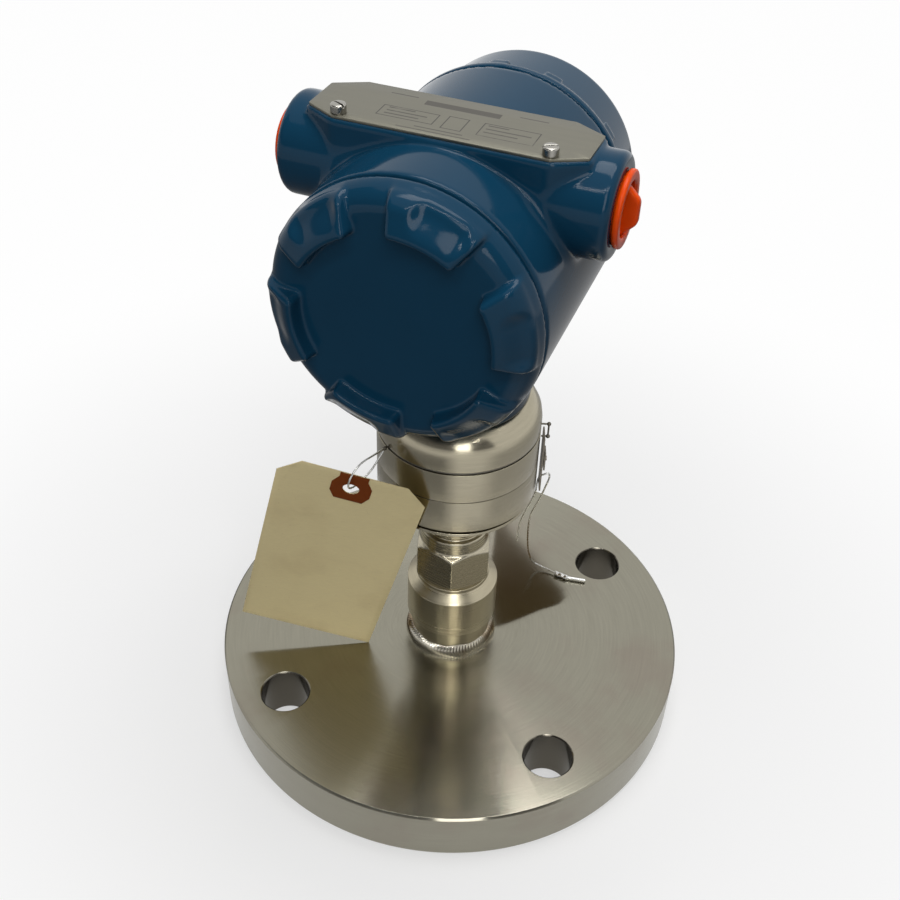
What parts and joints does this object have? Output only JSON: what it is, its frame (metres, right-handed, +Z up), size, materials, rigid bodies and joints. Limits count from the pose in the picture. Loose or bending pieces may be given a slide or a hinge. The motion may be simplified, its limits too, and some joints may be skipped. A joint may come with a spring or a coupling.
{
  "type": "pressure transmitter",
  "caption": "Field pressure transmitter: drilled flange with a diaphragm seal, welded stem, round sensor module and a swivelling two-chamber housing with screw covers.",
  "frame": {"origin": "centre of the flange's raised sealing face, which stands on the floor", "axes": "+Z up the stem, the terminal-side cover faces -Y, the conduit entries point along -X and +X"},
  "size_m": [0.1904, 0.1904, 0.2611],
  "materials": {
    "stainless": "brushed",
    "stainless_fine": "satin",
    "weld": "satin",
    "blue_paint": "gloss paint on die-cast metal",
    "nameplate": "satin",
    "orange_plastic": "gloss",
    "black_plastic": "matte",
    "board_green": "satin",
    "brass": "satin",
    "seal_rubber": "matte",
    "window": "gloss",
    "lcd": "gloss",
    "ceramic": "satin",
    "manila": "matte",
    "patch": "matte",
    "wire": "satin"
  },
  "bodies": {
    "process": {"flange": "stainless", "diaphragm": "stainless_fine", "fill_tube": "stainless_fine", "weld_collar": "stainless", "weld_bead": "weld", "hex_adapter": "stainless_fine", "sensor_base": "stainless", "sensor_can": "stainless", "swivel_seal": "seal_rubber", "pressure_cell": "ceramic", "board_posts": "brass", "sensor_board": "board_green", "signal_header": "black_plastic", "card_tag": "manila", "card_patch": "patch", "card_wire": "wire", "tag_loop": "wire", "steel_tags": "stainless_fine", "seal_wire": "wire", "seal_wire_short": "wire", "seal_crimp": "wire"},
    "housing": {"housing": "blue_paint", "set_screw": "stainless_fine", "nameplate": "nameplate", "nameplate_screws": "stainless_fine", "terminal_block": "black_plastic", "terminal_screws": "brass", "ground_screw": "stainless_fine", "board_standoffs": "brass", "main_board": "board_green", "electronics_module": "black_plastic", "display_module": "black_plastic", "lcd_panel": "lcd", "display_screws": "stainless_fine"},
    "front_seal": {"front_seal": "seal_rubber"},
    "front_cover": {"front_cover": "blue_paint"},
    "rear_seal": {"rear_seal": "seal_rubber"},
    "rear_cover": {"rear_cover": "blue_paint", "window_gasket": "seal_rubber", "window_glass": "window", "window_ring": "black_plastic"},
    "left_plug": {"left_plug": "orange_plastic"},
    "right_plug": {"right_plug": "orange_plastic"}
  },
  "joints": [
    {"name": "housing_swivel", "type": "hinge", "parent": "process", "child": "housing", "pos_m": [0, 0, 0.158], "axis": [0, 0, 1], "range_deg": [-180, 180]},
    {"name": "front_cover_travel", "type": "slide", "parent": "housing", "child": "front_seal", "axis": [0, -1, 0], "range_m": [0, 0.0121]},
    {"name": "front_cover_turn", "type": "hinge", "parent": "front_seal", "child": "front_cover", "pos_m": [0, -0.048, 0.2125], "axis": [0, -1, 0], "range_deg": [0, 2160]},
    {"name": "rear_cover_travel", "type": "slide", "parent": "housing", "child": "rear_seal", "axis": [0, 1, 0], "range_m": [0, 0.0121]},
    {"name": "rear_cover_turn", "type": "hinge", "parent": "rear_seal", "child": "rear_cover", "pos_m": [0, 0.0331, 0.2125], "axis": [0, 1, 0], "range_deg": [0, 2160]},
    {"name": "left_plug_pull", "type": "slide", "parent": "housing", "child": "left_plug", "axis": [-1, 0, 0], "range_m": [0, 0.02]},
    {"name": "right_plug_pull", "type": "slide", "parent": "housing", "child": "right_plug", "axis": [1, 0, 0], "range_m": [0, 0.02]}
  ],
  "couplings": [
    {"joint": "front_cover_travel", "follows": "front_cover_turn", "m_per_rad": 0.00031831},
    {"joint": "rear_cover_travel", "follows": "rear_cover_turn", "m_per_rad": 0.00031831}
  ]
}
